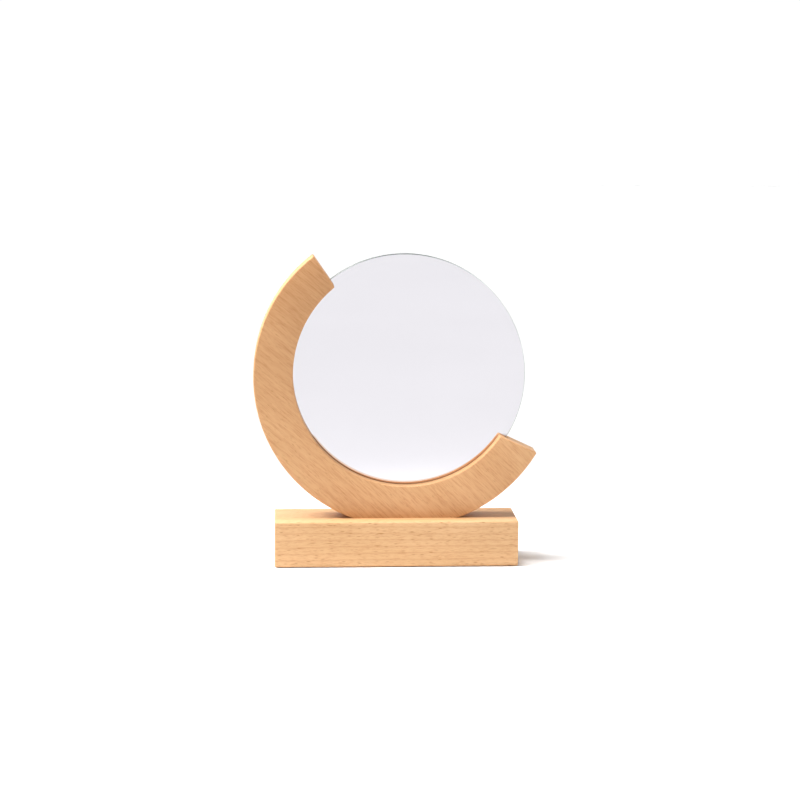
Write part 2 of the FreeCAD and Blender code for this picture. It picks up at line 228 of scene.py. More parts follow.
def straight_grain(centre, pith):
    """Grain along X. The rings are round the pith, given as (y, z) in millimetres from the centre."""
    def build(tree):
        place = add_node(tree, "ShaderNodeTexCoord").outputs["Object"]
        shift = add_node(tree, "ShaderNodeMapping", {
            "Vector": place, "Location": [-c / MM for c in centre], "Scale": [1 / MM] * 3})
        x, y, z = add_node(tree, "ShaderNodeSeparateXYZ", {0: shift.outputs[0]}).outputs
        radial = add_node(tree, "ShaderNodeCombineXYZ", {
            0: 0.0,
            1: add_node(tree, "ShaderNodeMath", {0: y, 1: pith[0]}, operation="SUBTRACT").outputs[0],
            2: add_node(tree, "ShaderNodeMath", {0: z, 1: pith[1]}, operation="SUBTRACT").outputs[0]})
        radius = add_node(tree, "ShaderNodeVectorMath", {0: radial.outputs[0]}, operation="LENGTH")
        return add_node(tree, "ShaderNodeCombineXYZ", {
            0: x, 1: radius.outputs["Value"], 2: y}).outputs[0]
    return build


block_low, block_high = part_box("base_block")
block_middle = (block_low + block_high) / 2
screw_low, screw_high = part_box("base_screws")
dowel_low, dowel_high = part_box("dowel_left")
dowel_right_low, dowel_right_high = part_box("dowel_right")
BLOCK_ROUNDING = 1.2 * MM
HEAD_RADIUS = 4.5 * MM
SHANK_RADIUS = 2.25 * MM
COUNTERBORE_RADIUS = 5.5 * MM
SCREW_HOLE_RADIUS = 2.5 * MM
HEAD_HEIGHT = 3.0 * MM
GLUE_SPACE = 1.0 * MM
# A cutter runs this far past the face that it breaks through.
OVERCUT = 1.0 * MM
DOWEL_RADIUS = (dowel_high.x - dowel_low.x) / 2
screw_xs = (screw_low.x + HEAD_RADIUS, screw_high.x - HEAD_RADIUS)
dowel_xs = ((dowel_low.x + dowel_high.x) / 2, (dowel_right_low.x + dowel_right_high.x) / 2)
head_seat = screw_low.z + HEAD_HEIGHT

block_beech = beech("steamed beech, satin lacquer, block", ("#CEA577", "#D4AB7E", "#D9B286"),
                    straight_grain(block_middle, (30, -160)), rings=(5.2, 5.0, "#F4ECE4"),
                    fibres=(5, 0.8, "#EADCCE"), flecks=[(4.0, 0.95, 0.7, 0.95), (7.5, 1.0, 0.2, 1.0)])

bm = bmesh.new()
bmesh.ops.create_cube(bm, size=1.0)
bmesh.ops.transform(bm, verts=bm.verts, matrix=Matrix.Translation(block_middle)
                    @ Matrix.Diagonal((*(block_high - block_low), 1.0)))
bmesh.ops.bevel(bm, geom=bm.edges[:], offset=BLOCK_ROUNDING, segments=EDGE_SEGMENTS, profile=0.5,
                affect="EDGES")
block = mesh_piece("block", bm, block_beech)
holes = []
for x in screw_xs:
    holes.append((x, 0, COUNTERBORE_RADIUS, block_low.z - OVERCUT, head_seat))
    holes.append((x, 0, SCREW_HOLE_RADIUS, head_seat - OVERCUT, block_high.z + OVERCUT))
for x in dowel_xs:
    holes.append((x, 0, DOWEL_RADIUS, dowel_low.z - GLUE_SPACE, block_high.z + OVERCUT))
bore_out(block, holes)
finish_piece(block, "beech_block", "base_block")

# ---------------------------------------------------------------------------------------------
# The dowels and screws that hold the crescent's foot to the block. The dowels are short fluted
# beech pins, glued in. The screws are zinc-plated steel with a pan head and a hexagon socket, run
# up from below. Only the screw heads show, deep in their counterbores.

FLUTES = 18
STEPS_PER_FLUTE = 4
FLUTE_DEPTH = 0.35 * MM
DOWEL_BEVEL = 0.8 * MM

dowel_beech = beech("raw beech, turned and fluted", ("#CFA67C", "#D6AE85", "#DCB68F"),
                    straight_grain((0, 0, 0), (40, 40)), rings=(2.5, 1.0, "#EFE6DC"),
                    fibres=(12, 0.6, "#EFE3D8"), flecks=[(2.5, 0.5, 0.4, 0.4)])


def fluted_pin(x):
    """One dowel: bevelled ends, and flutes that let the glue out."""
    bm = bmesh.new()
    low, high = dowel_low.z, dowel_high.z
    rings = []
    steps = FLUTES * STEPS_PER_FLUTE
    for z, drop in ((low, DOWEL_BEVEL), (low + DOWEL_BEVEL, 0), (high - DOWEL_BEVEL, 0),
                    (high, DOWEL_BEVEL)):
        ring = []
        for i in range(steps):
            turn = math.tau * i / steps
            radius = DOWEL_RADIUS - drop - (FLUTE_DEPTH if i % STEPS_PER_FLUTE == 0 else 0)
            ring.append(bm.verts.new((x + radius * math.cos(turn), radius * math.sin(turn), z)))
        rings.append(ring)
    for lower, upper in zip(rings, rings[1:]):
        for i in range(steps):
            j = (i + 1) % steps
            bm.faces.new((lower[i], lower[j], upper[j], upper[i]))
    bm.faces.new(rings[0][::-1])
    bm.faces.new(rings[-1])
    return bm


for name, x in zip(("dowel_left", "dowel_right"), dowel_xs):
    finish_piece(mesh_piece(name + "_pin", fluted_pin(x), dowel_beech), "beech_dowel", name)


def zinc_plated():
    """Zinc-plated steel, cold-headed: a bluish bright grey with a slightly frosted shine."""
    material, tree, shader = new_material("zinc-plated steel, cold-headed")
    place = add_node(tree, "ShaderNodeTexCoord").outputs["Object"]
    frost = add_node(tree, "ShaderNodeTexNoise", {
        "Vector": place, "Scale": 1 / (0.6 * MM), "Detail": 3.0})
    shade = add_node(tree, "ShaderNodeValToRGB", {0: frost.outputs[0]},
                     stops=[(0.35, "#B9BDC2"), (0.7, "#D0D3D6")])
    tree.links.new(shade.outputs[0], shader.inputs["Base Color"])
    rough = add_node(tree, "ShaderNodeMapRange", {0: frost.outputs[0], 3: 0.28, 4: 0.42})
    tree.links.new(rough.outputs[0], shader.inputs["Roughness"])
    shader.inputs["Metallic"].default_value = 1.0
    return material


def group_input(tree, kind, name, value):
    """A named input of a Geometry Nodes tree."""
    socket = tree.interface.new_socket(name=name, in_out="INPUT", socket_type="NodeSocket" + kind)
    if value is not None:
        socket.default_value = value
    return socket


def new_geometry_tree(name):
    """An empty Geometry Nodes tree with a mesh going in and a mesh coming out."""
    tree = bpy.data.node_groups.new(name, "GeometryNodeTree")
    tree.interface.new_socket(name="Mesh", in_out="INPUT", socket_type="NodeSocketGeometry")
    tree.interface.new_socket(name="Mesh", in_out="OUTPUT", socket_type="NodeSocketGeometry")
    return tree


def close_tree(tree, geometry, material):
    """Ends a tree in real geometry that carries its material."""
    real = add_node(tree, "GeometryNodeRealizeInstances", {0: geometry})
    painted = add_node(tree, "GeometryNodeSetMaterial", {"Geometry": real.outputs[0], "Material": material})
    add_node(tree, "NodeGroupOutput", {0: painted.outputs[0]})


def run_tree(obj, tree, **values):
    """Runs a tree on an object with its inputs set by name, and keeps the mesh that it makes."""
    modifier = obj.modifiers.new(tree.name, "NODES")
    modifier.node_group = tree
    for item in tree.interface.items_tree:
        key = item.name.lower().replace(" ", "_")
        if item.item_type == "SOCKET" and item.in_out == "INPUT" and key in values:
            modifier[item.identifier] = values[key]
    return plain_mesh(obj)


def copies_tree():
    """Sets copies of the mesh on the corners of a grid."""
    tree = new_geometry_tree("copies on a grid")
    for name, value in (("Size X", 0.1), ("Size Y", 0.1)):
        group_input(tree, "Float", name, value)
    for name in ("Count X", "Count Y"):
        group_input(tree, "Int", name, 2)
    group_input(tree, "Vector", "Centre", (0.0, 0.0, 0.0))
    group_input(tree, "Material", "Material", None)
    given = add_node(tree, "NodeGroupInput").outputs
    grid = add_node(tree, "GeometryNodeMeshGrid", {
        "Size X": given["Size X"], "Size Y": given["Size Y"],
        "Vertices X": given["Count X"], "Vertices Y": given["Count Y"]})
    placed = add_node(tree, "GeometryNodeTransform", {
        "Geometry": grid.outputs[0], "Translation": given["Centre"]})
    copies = add_node(tree, "GeometryNodeInstanceOnPoints", {
        "Points": placed.outputs[0], "Instance": given["Mesh"]})
    close_tree(tree, copies.outputs[0], given["Material"])
    return tree


def thread_tree():
    """Adds a ridge along a helix to a screw: a small triangle swept up a spiral."""
    tree = new_geometry_tree("screw thread")
    for name, value in (("Turns", 10.0), ("Radius", 0.002), ("Rise", 0.02), ("Start", 0.0),
                        ("Ridge", 0.0003)):
        group_input(tree, "Float", name, value)
    group_input(tree, "Material", "Material", None)
    given = add_node(tree, "NodeGroupInput").outputs
    helix = add_node(tree, "GeometryNodeCurveSpiral", {
        "Resolution": 24, "Rotations": given["Turns"], "Start Radius": given["Radius"],
        "End Radius": given["Radius"], "Height": given["Rise"]})
    lift = add_node(tree, "ShaderNodeCombineXYZ", {2: given["Start"]})
    lifted = add_node(tree, "GeometryNodeTransform", {
        "Geometry": helix.outputs[0], "Translation": lift.outputs[0]})
    ridge = add_node(tree, "GeometryNodeCurvePrimitiveCircle", {
        "Resolution": 3, "Radius": given["Ridge"]})
    swept = add_node(tree, "GeometryNodeCurveToMesh", {
        "Curve": lifted.outputs[0], "Profile Curve": ridge.outputs[0], "Fill Caps": True})
    both = add_node(tree, "GeometryNodeJoinGeometry")
    tree.links.new(given["Mesh"], both.inputs[0])
    tree.links.new(swept.outputs[0], both.inputs[0])
    close_tree(tree, both.outputs[0], given["Material"])
    return tree


CORE_RADIUS = 1.7 * MM
RIDGE = 0.5 * MM
SCREW_LENGTH = screw_high.z - head_seat
TIP_LENGTH = 5 * MM
THREAD_START = 6 * MM
THREAD_RISE = SCREW_LENGTH - 10 * MM
THREAD_TURNS = 14
SOCKET_CORNER = 1.73 * MM
SOCKET_DEPTH = 1.8 * MM
HEAD_SEGMENTS = 48

zinc = zinc_plated()
bm = bmesh.new()
# From the crown of the head to the tip, as (radius, height over the head's seat).
profile = [(0, -HEAD_HEIGHT), (3.0 * MM, -HEAD_HEIGHT), (3.9 * MM, -2.6 * MM), (4.35 * MM, -1.7 * MM),
           (HEAD_RADIUS, -0.8 * MM), (HEAD_RADIUS, 0), (CORE_RADIUS, 0),
           (CORE_RADIUS, SCREW_LENGTH - TIP_LENGTH), (0, SCREW_LENGTH)]
spin_axis = [bm.verts.new((radius, 0, z)) for radius, z in profile]
spin_edges = [bm.edges.new(pair) for pair in zip(spin_axis, spin_axis[1:])]
bmesh.ops.spin(bm, geom=spin_axis + spin_edges, cent=(0, 0, 0), axis=(0, 0, 1), angle=math.tau,
               steps=HEAD_SEGMENTS, use_merge=True)
bmesh.ops.remove_doubles(bm, verts=bm.verts, dist=0.01 * MM)
screw = mesh_piece("screws", bm)
bm = bmesh.new()
bmesh.ops.create_cone(bm, cap_ends=True, segments=6, radius1=SOCKET_CORNER, radius2=SOCKET_CORNER,
                      depth=2 * SOCKET_DEPTH, matrix=Matrix.Translation((0, 0, -HEAD_HEIGHT)))
key = mesh_piece("hexagon key", bm)
cut = screw.modifiers.new("socket", "BOOLEAN")
cut.object = key
cut.solver = "EXACT"
plain_mesh(screw)
bpy.data.objects.remove(key)
run_tree(screw, thread_tree(), turns=THREAD_TURNS, radius=CORE_RADIUS, rise=THREAD_RISE,
         start=THREAD_START, ridge=RIDGE, material=zinc)
grid_copies = copies_tree()
run_tree(screw, grid_copies, size_x=screw_xs[1] - screw_xs[0], size_y=0.0, count_x=2, count_y=1,
         centre=((screw_xs[0] + screw_xs[1]) / 2, 0.0, head_seat), material=zinc)
finish_piece(screw, "zinc_plated_steel", "base_screws")

# ---------------------------------------------------------------------------------------------
# The crescent: a beech board sawn to about 200 degrees of arc, its edges sanded round, with a
# groove routed in its inner edge for the glass and its bottom cut flat as a foot. The board's
# grain runs from the upper left to the lower right, and curves gently with the tree.

glass_low, glass_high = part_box("mirror_glass")
frame_low, frame_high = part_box("crescent_frame")
bedding_low, bedding_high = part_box("groove_bedding")
GLASS_RADIUS = (glass_high.x - glass_low.x) / 2
disc_centre = Vector(((glass_low.x + glass_high.x) / 2, 0, (glass_low.z + glass_high.z) / 2))
LIP_OVER_GLASS = 6.9 * MM
BEAD_THICKNESS = 3.0 * MM
WOOD_BEHIND_GROOVE = 22.59 * MM
INNER_RADIUS = GLASS_RADIUS - LIP_OVER_GLASS
GROOVE_RADIUS = GLASS_RADIUS + BEAD_THICKNESS
OUTER_RADIUS = GROOVE_RADIUS + WOOD_BEHIND_GROOVE
# How far the centres of the inner and outer edges lie from the disc's centre, as (x, z).
INNER_SHIFT = (1.35 * MM, 1.3 * MM)
OUTER_SHIFT = (1.35 * MM, -0.85 * MM)
SLOT_CLEARANCE = 0.4 * MM
CRESCENT_ROUNDING = 1.2 * MM
SLOT_EDGE = 0.25 * MM
STATIONS = 200
SHARP_FOLD = math.radians(40)
# The saw cuts at the two ends: direction, and the distance at which each passes the disc's centre.
LEFT_CUT, LEFT_CUT_OFFSET = math.radians(124.5), 5.98 * MM
RIGHT_CUT, RIGHT_CUT_OFFSET = math.radians(360 - 24.9), -11.8 * MM


def arc_bar_tree():
    """Bends a straight bar into an arc about the disc's centre. The profile is swept along a rail of
    length 1. Each point then goes to an angle between the two saw cuts, and its radius is shifted so
    that the inner and outer edges get their own centres, while the groove's floor stays round."""
    tree = new_geometry_tree("arc bar")
    group_input(tree, "Object", "Profile", None)
    group_input(tree, "Int", "Stations", 100)
    group_input(tree, "Vector", "Centre", (0.0, 0.0, 0.0))
    for name in ("Start Cut", "Start Offset", "End Cut", "End Offset", "Inner Radius", "Groove Radius",
                 "Outer Radius", "Inner Shift X", "Inner Shift Z", "Outer Shift X", "Outer Shift Z"):
        group_input(tree, "Float", name, 0.0)
    group_input(tree, "Material", "Material", None)
    given = add_node(tree, "NodeGroupInput").outputs

    rail = add_node(tree, "GeometryNodeCurvePrimitiveLine", {"End": (1.0, 0.0, 0.0)})
    stepped = add_node(tree, "GeometryNodeResampleCurve", {
        "Curve": rail.outputs[0], "Count": given["Stations"]})
    upright = add_node(tree, "GeometryNodeSetCurveNormal", {"Curve": stepped.outputs[0]}, mode="Z_UP")
    outline = add_node(tree, "GeometryNodeObjectInfo", {"Object": given["Profile"]})
    swept = add_node(tree, "GeometryNodeCurveToMesh", {
        "Curve": upright.outputs[0], "Profile Curve": outline.outputs["Geometry"], "Fill Caps": True})
    along, depth, radius = add_node(tree, "ShaderNodeSeparateXYZ", {
        0: add_node(tree, "GeometryNodeInputPosition").outputs[0]}).outputs

    def angle_at(reach):
        """The angle at which a point this far from the centre lies, a share of the way along."""
        turns = []
        for end in ("Start", "End"):
            sine = add_node(tree, "ShaderNodeMath", {0: given[end + " Offset"], 1: reach},
                            operation="DIVIDE")
            swing = add_node(tree, "ShaderNodeMath", {0: sine.outputs[0]}, operation="ARCSINE")
            turns.append(add_node(tree, "ShaderNodeMath", {0: given[end + " Cut"], 1: swing.outputs[0]},
                                  operation="ADD").outputs[0])
        sweep = add_node(tree, "ShaderNodeMath", {0: turns[1], 1: turns[0]}, operation="SUBTRACT")
        return add_node(tree, "ShaderNodeMath", {0: along, 1: sweep.outputs[0], 2: turns[0]},
                        operation="MULTIPLY_ADD").outputs[0]

    def shift_of(turn, edge):
        """How far an edge's own centre moves it outwards at that angle, fading out at the groove."""
        cosine = add_node(tree, "ShaderNodeMath", {0: turn}, operation="COSINE")
        sine = add_node(tree, "ShaderNodeMath", {0: turn}, operation="SINE")
        rise = add_node(tree, "ShaderNodeMath", {0: sine.outputs[0], 1: given[edge + " Shift Z"]},
                        operation="MULTIPLY")
        push = add_node(tree, "ShaderNodeMath", {
            0: cosine.outputs[0], 1: given[edge + " Shift X"], 2: rise.outputs[0]},
            operation="MULTIPLY_ADD")
        share = add_node(tree, "ShaderNodeMapRange", {
            0: radius, 1: given["Groove Radius"], 2: given[edge + " Radius"], 3: 0.0, 4: 1.0})
        return add_node(tree, "ShaderNodeMath", {0: push.outputs[0], 1: share.outputs[0]},
                        operation="MULTIPLY").outputs[0]

    first_turn = angle_at(radius)
    reach = radius
    for edge in ("Inner", "Outer"):
        reach = add_node(tree, "ShaderNodeMath", {0: reach, 1: shift_of(first_turn, edge)},
                         operation="ADD").outputs[0]
    turn = angle_at(reach)
    flat = []
    for part in ("COSINE", "SINE"):
        direction = add_node(tree, "ShaderNodeMath", {0: turn}, operation=part)
        flat.append(add_node(tree, "ShaderNodeMath", {0: reach, 1: direction.outputs[0]},
                             operation="MULTIPLY").outputs[0])
    bent = add_node(tree, "ShaderNodeCombineXYZ", {0: flat[0], 1: depth, 2: flat[1]})
    placed = add_node(tree, "ShaderNodeVectorMath", {0: bent.outputs[0], 1: given["Centre"]},
                      operation="ADD")
    moved = add_node(tree, "GeometryNodeSetPosition", {
        "Geometry": swept.outputs[0], "Position": placed.outputs[0]})
    close_tree(tree, moved.outputs[0], given["Material"])
    return tree


def outline_curve(points):
    """A closed outline of straight lines, as the profile that a bar is swept with. It is drawn half
    a turn round, because the sweep along X turns it back."""
    curve = bpy.data.curves.new("profile", "CURVE")
    curve.dimensions = "2D"
    line = curve.splines.new("POLY")
    line.points.add(len(points) - 1)
    for point, (across, up) in zip(line.points, points):
        point.co = (-across, -up, 0, 1)
    line.use_cyclic_u = True
    obj = bpy.data.objects.new("profile", curve)
    bpy.context.scene.collection.objects.link(obj)
    return obj


def arc_bar(name, points, material, **values):
    """A bar with this profile, given as (depth, radius) points, bent about the disc's centre."""
    profile = outline_curve(points)
    bar = mesh_piece(name, bmesh.new())
    run_tree(bar, bar_tree, profile=profile, centre=disc_centre, material=material,
             inner_radius=INNER_RADIUS, groove_radius=GROOVE_RADIUS, outer_radius=OUTER_RADIUS, **values)
    bpy.data.objects.remove(profile)
    bm = bmesh.new()
    bm.from_mesh(bar.data)
    bmesh.ops.remove_doubles(bm, verts=bm.verts, dist=0.001 * MM)
    bmesh.ops.recalc_face_normals(bm, faces=bm.faces)
    bm.to_mesh(bar.data)
    bm.free()
    return bar


def curved_grain(pith, lean):
    """Grain that follows circles about a far pith, given as (x, z) in millimetres from the disc's
    centre. The rings lean by that many millimetres for each one of depth, so that the sawn edges
    show them aslant."""
    def build(tree):
        place = add_node(tree, "ShaderNodeTexCoord").outputs["Object"]
        to_pith = (-disc_centre.x / MM - pith[0], 0.0, -disc_centre.z / MM - pith[1])
        shift = add_node(tree, "ShaderNodeMapping", {
            "Vector": place, "Location": to_pith, "Scale": [1 / MM] * 3})
        x, y, z = add_node(tree, "ShaderNodeSeparateXYZ", {0: shift.outputs[0]}).outputs
        turn = add_node(tree, "ShaderNodeMath", {0: z, 1: x}, operation="ARCTAN2")
        along = add_node(tree, "ShaderNodeMath", {0: turn.outputs[0], 1: math.hypot(*pith)},
                         operation="MULTIPLY")
        flat = add_node(tree, "ShaderNodeCombineXYZ", {0: x, 1: 0.0, 2: z})
        radius = add_node(tree, "ShaderNodeVectorMath", {0: flat.outputs[0]}, operation="LENGTH")
        leaning = add_node(tree, "ShaderNodeMath", {0: y, 1: lean, 2: radius.outputs["Value"]},
                           operation="MULTIPLY_ADD")
        return add_node(tree, "ShaderNodeCombineXYZ", {
            0: along.outputs[0], 1: leaning.outputs[0], 2: y}).outputs[0]
    return build


# The crescent's upper end is darkened with painted shade, for the light that grows weaker with height.
crescent_beech = beech("steamed beech, satin lacquer, crescent", ("#CF9F70", "#D4A576", "#D9AB7D"),
                       curved_grain((-1340, -1490), 0.35), rings=(7.5, 5.0, "#F8F3EE"),
                       fibres=(10, 0.9, "#E8D8C8"), flecks=[(3.0, 0.8, 0.45, 0.55)],
                       painted_shade_above=(130, 245, "#F0E9E2"))
bar_tree = arc_bar_tree()
half_frame = (frame_high.y - frame_low.y) / 2
half_slot = (bedding_high.y - bedding_low.y) / 2 + SLOT_CLEARANCE
crescent = arc_bar("crescent", [
    (-half_frame, INNER_RADIUS), (-half_frame, OUTER_RADIUS), (half_frame, OUTER_RADIUS),
    (half_frame, INNER_RADIUS), (half_slot, INNER_RADIUS), (half_slot, GROOVE_RADIUS),
    (-half_slot, GROOVE_RADIUS), (-half_slot, INNER_RADIUS)], crescent_beech, stations=STATIONS,
    start_cut=LEFT_CUT, start_offset=LEFT_CUT_OFFSET, end_cut=RIGHT_CUT, end_offset=RIGHT_CUT_OFFSET,
    inner_shift_x=INNER_SHIFT[0], inner_shift_z=INNER_SHIFT[1],
    outer_shift_x=OUTER_SHIFT[0], outer_shift_z=OUTER_SHIFT[1])


def round_edges(obj, weight_of, width):
    """Rounds the sharp edges that weight_of gives a share above 0, by that share of the width."""
    bm = bmesh.new()
    bm.from_mesh(obj.data)
    weights = bm.edges.layers.float.new("bevel_weight_edge")
    for edge in bm.edges:
        if len(edge.link_faces) == 2 and edge.calc_face_angle() > SHARP_FOLD:
            edge[weights] = weight_of(edge)
    bm.to_mesh(obj.data)
    bm.free()
    bevel = obj.modifiers.new("rounding", "BEVEL")
    bevel.limit_method = "WEIGHT"
    bevel.width = width
    bevel.segments = EDGE_SEGMENTS
    bevel.miter_outer = "MITER_SHARP"
    plain_mesh(obj)


def crescent_weight(edge):
    """Full rounding on the outside edges, and a touch of sandpaper on the groove's lips."""
    if all(abs(v.co.y) < half_slot * 1.01 for v in edge.verts):
        return SLOT_EDGE / CRESCENT_ROUNDING if edge.is_convex else 0.0
    return 1.0


round_edges(crescent, crescent_weight, CRESCENT_ROUNDING)
bm = bmesh.new()
bm.from_mesh(crescent.data)
foot_z = block_high.z
cut = bmesh.ops.bisect_plane(bm, geom=bm.verts[:] + bm.edges[:] + bm.faces[:], plane_co=(0, 0, foot_z),
                             plane_no=(0, 0, -1), clear_outer=True)
sawn_edges = [e for e in cut["geom_cut"] if isinstance(e, bmesh.types.BMEdge)]
bmesh.ops.holes_fill(bm, edges=sawn_edges, sides=0)
bmesh.ops.recalc_face_normals(bm, faces=bm.faces)
bm.to_mesh(crescent.data)
bm.free()
holes = [(x, 0, SHANK_RADIUS, foot_z - OVERCUT, screw_high.z) for x in screw_xs]
holes += [(x, 0, DOWEL_RADIUS, foot_z - OVERCUT, dowel_high.z + GLUE_SPACE) for x in dowel_xs]
bore_out(crescent, holes)
finish_piece(crescent, "beech_crescent", "crescent_frame")

# ---------------------------------------------------------------------------------------------
# The silicone in the groove's floor: a soft translucent bead, pressed flat by the glass rim, with
# its free ends a little way inside the crescent.

BEAD_START, BEAD_END = math.radians(138), math.radians(318)
BEAD_ROUNDING = 0.5 * MM


def cured_silicone():
    """Neutral silicone, cured in place: milky, faintly glossy, and a little uneven."""
    material, tree, shader = new_material("neutral silicone, cured in place")
    place = add_node(tree, "ShaderNodeTexCoord").outputs["Object"]
    cloud = add_node(tree, "ShaderNodeTexNoise", {"Vector": place, "Scale": 1 / (4 * MM), "Detail": 2.0})
    shade = add_node(tree, "ShaderNodeValToRGB", {0: cloud.outputs[0]},
                     stops=[(0.3, "#B9B8B2"), (0.7, "#CDCCC6")])
    tree.links.new(shade.outputs[0], shader.inputs["Base Color"])
    shader.inputs["Roughness"].default_value = 0.38
    shader.inputs["IOR"].default_value = 1.41
    shader.inputs["Subsurface Weight"].default_value = 0.25
    shader.inputs["Subsurface Scale"].default_value = 2 * MM
    return material


half_bead = (bedding_high.y - bedding_low.y) / 2
bead = arc_bar("bead", [
    (-half_bead, GLASS_RADIUS), (-half_bead, GROOVE_RADIUS), (half_bead, GROOVE_RADIUS),
    (half_bead, GLASS_RADIUS)], cured_silicone(), stations=STATIONS,
    start_cut=BEAD_START, end_cut=BEAD_END)
round_edges(bead, lambda edge: 1.0, BEAD_ROUNDING)
finish_piece(bead, "silicone", "groove_bedding")

# ---------------------------------------------------------------------------------------------
# The mirror: a 4 mm float glass disc, silvered on the back. Its rim is ground round and polished,
# with a small bevel on each side. The silver's paint and a safety film cover its back.

ARRIS = 0.5 * MM
DISC_SEGMENTS = 256
# How far above the lower lip the painted shade line and painted reflection of the lip reach.
PAINTED_LIP_REFLECTION_REACH = 4 * MM


def lathe(name, profile, *materials, slots=()):
    """A disc about the mirror's axis from (radius, y) points. slots holds the steps, counted from the
    first pair of points, that take the second material."""
    bm = bmesh.new()
    rings = []
    for radius, y in profile:
        if radius == 0:
            rings.append([bm.verts.new((disc_centre.x, y, disc_centre.z))])
            continue
        ring = []
        for i in range(DISC_SEGMENTS):
            turn = math.tau * i / DISC_SEGMENTS
            ring.append(bm.verts.new((disc_centre.x + radius * math.cos(turn), y,
                                      disc_centre.z + radius * math.sin(turn))))
        rings.append(ring)
    for step, (first, second) in enumerate(zip(rings, rings[1:])):
        for i in range(DISC_SEGMENTS):
            j = (i + 1) % DISC_SEGMENTS
            corners = [first[i % len(first)], first[j % len(first)], second[j % len(second)],
                       second[i % len(second)]]
            face = bm.faces.new(list(dict.fromkeys(corners)))
            face.material_index = 1 if step in slots else 0
    return mesh_piece(name, bm, *materials)


def silvered_glass():
    """Silvered float glass, seen from the front: a clean cool reflection with a very faint mottle."""
    material, tree, shader = new_material("silvered float glass, polished")
    place = add_node(tree, "ShaderNodeTexCoord").outputs["Object"]
    mottle = add_node(tree, "ShaderNodeTexNoise", {
        "Vector": place, "Scale": 1 / (70 * MM), "Detail": 1.0})
    tint = add_node(tree, "ShaderNodeValToRGB", {0: mottle.outputs[0]},
                    stops=[(0.3, "#E9E7EC"), (0.7, "#EAE8ED")])
    # Painted shade and painted reflection: the silver lies behind 4 mm of glass, so above the lower lip a
    # real mirror shows the groove's shade as a dark line, and then the lip once more. Both are painted into
    # the colour here. above_lip is the height over the lip's edge there, and steepness is 1 straight below
    # the centre and 0 beside it. The upper ends don't show this.
    lip_centre = (disc_centre.x + INNER_SHIFT[0], 0.0, disc_centre.z + INNER_SHIFT[1])
    flat = add_node(tree, "ShaderNodeVectorMath", {0: place, 1: (1.0, 0.0, 1.0)}, operation="MULTIPLY")
    offset = add_node(tree, "ShaderNodeVectorMath", {0: flat.outputs[0], 1: lip_centre},
                      operation="SUBTRACT")
    reach = add_node(tree, "ShaderNodeVectorMath", {0: offset.outputs[0]}, operation="LENGTH")
    gap = add_node(tree, "ShaderNodeMath", {0: INNER_RADIUS, 1: reach.outputs["Value"]},
                   operation="SUBTRACT")
    drop = add_node(tree, "ShaderNodeSeparateXYZ", {0: offset.outputs[0]}).outputs[2]
    steepness = add_node(tree, "ShaderNodeMath", {0: drop, 1: -INNER_RADIUS}, operation="DIVIDE")
    above_lip = add_node(tree, "ShaderNodeMath", {0: gap.outputs[0], 1: steepness.outputs[0]},
                         operation="DIVIDE")
    share = add_node(tree, "ShaderNodeMapRange", {0: above_lip.outputs[0], 1: 0.0, 2: PAINTED_LIP_REFLECTION_REACH})
    # A painted shade line, then a painted reflection of the lip, fading to the plain mirror.
    painted_shade_and_reflection = add_node(tree, "ShaderNodeValToRGB", {0: share.outputs[0]}, stops=[
        (0.17, "#B4A6A0"), (0.24, "#F0D2BA"), (0.45, "#EED3BC"), (0.66, "#EFDCC8"), (0.85, "#FFFFFF")])
    # Only the lower part of the mirror gets the painted shade and reflection.
    painted_lower_part = add_node(tree, "ShaderNodeMapRange", {0: steepness.outputs[0], 1: 0.54, 2: 0.575})
    seen = add_node(tree, "ShaderNodeMix", {
        0: painted_lower_part.outputs[0], 6: tint.outputs[0], 7: painted_shade_and_reflection.outputs[0]},
        data_type="RGBA", blend_type="MULTIPLY")
    tree.links.new(seen.outputs[2], shader.inputs["Base Color"])
    shader.inputs["Metallic"].default_value = 1.0
    shader.inputs["Roughness"].default_value = 0.02
    return material


